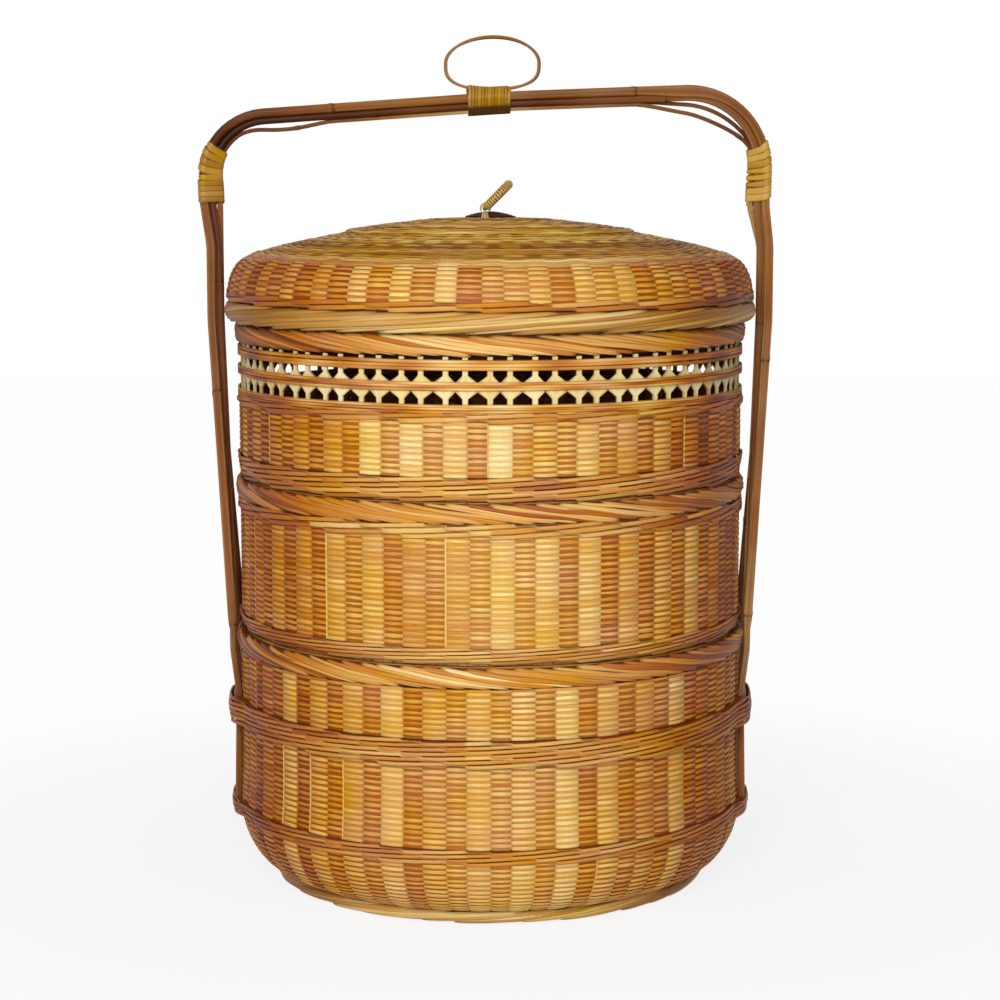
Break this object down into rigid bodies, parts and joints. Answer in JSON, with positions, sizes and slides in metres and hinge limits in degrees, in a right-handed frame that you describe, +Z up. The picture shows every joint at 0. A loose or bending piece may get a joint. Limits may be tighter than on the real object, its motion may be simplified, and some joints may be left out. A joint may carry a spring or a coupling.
{
  "type": "tiered food basket",
  "caption": "Round woven bamboo food basket: a base with a fixed arch handle, stacked lift-off trays with an openwork band, and a domed lid with a ring knob.",
  "frame": {"origin": "on the floor under the middle of the basket", "axes": "+Z up along the axis of the stacked rounds, +X from the left post of the arch handle to the right post, as seen in the picture; the picture looks along +Y"},
  "size_m": [0.3606, 0.3318, 0.5299],
  "materials": {
    "honey_weave": "oiled",
    "pale_split": "satin",
    "rim_split": "oiled",
    "brown_cane": "polished",
    "golden_cane": "satin"
  },
  "bodies": {
    "base": {"base_floor": "honey_weave", "base_foot_hoop": "rim_split", "base_wall": "honey_weave", "base_lower_band": "rim_split", "base_waist_band": "rim_split", "base_rim": "rim_split", "handle_front_cane": "brown_cane", "handle_middle_cane": "brown_cane", "handle_inner_cane": "brown_cane", "handle_back_cane": "brown_cane", "handle_short_cane": "brown_cane", "left_shoulder_binding": "golden_cane", "right_shoulder_binding": "golden_cane", "grip_binding": "golden_cane", "hanging_loop": "brown_cane"},
    "lower_tray": {"lower_tray_floor": "honey_weave", "lower_tray_wall": "honey_weave", "lower_tray_nest_hoop": "rim_split", "lower_tray_bottom_band": "rim_split", "lower_tray_rim": "rim_split"},
    "upper_tray": {"upper_tray_floor": "honey_weave", "upper_tray_wall": "honey_weave", "upper_tray_nest_hoop": "rim_split", "upper_tray_bottom_band": "rim_split", "upper_tray_lattice": "pale_split", "upper_tray_lower_hoop": "rim_split", "upper_tray_middle_hoop": "rim_split", "upper_tray_upper_hoop": "rim_split", "upper_tray_rim": "rim_split"},
    "lid": {"lid_rim": "pale_split", "lid_wall": "honey_weave", "lid_crown": "honey_weave", "lid_nest_hoop": "rim_split", "knob_button": "brown_cane", "knob_tie": "golden_cane"},
    "knob": {"knob_ring": "golden_cane", "knob_ring_wrap": "golden_cane"}
  },
  "joints": [
    {"name": "lower_tray_lift", "type": "slide", "parent": "base", "child": "lower_tray", "axis": [0, 0, 1], "range_m": [0, 0.01]},
    {"name": "upper_tray_lift", "type": "slide", "parent": "lower_tray", "child": "upper_tray", "axis": [0, 0, 1], "range_m": [0, 0.01]},
    {"name": "lid_lift", "type": "slide", "parent": "upper_tray", "child": "lid", "axis": [0, 0, 1], "range_m": [0, 0.01]},
    {"name": "knob_hinge", "type": "hinge", "parent": "lid", "child": "knob", "pos_m": [-0.003, 0, 0.4229], "axis": [0, 1, 0], "range_deg": [-90, 0]}
  ]
}
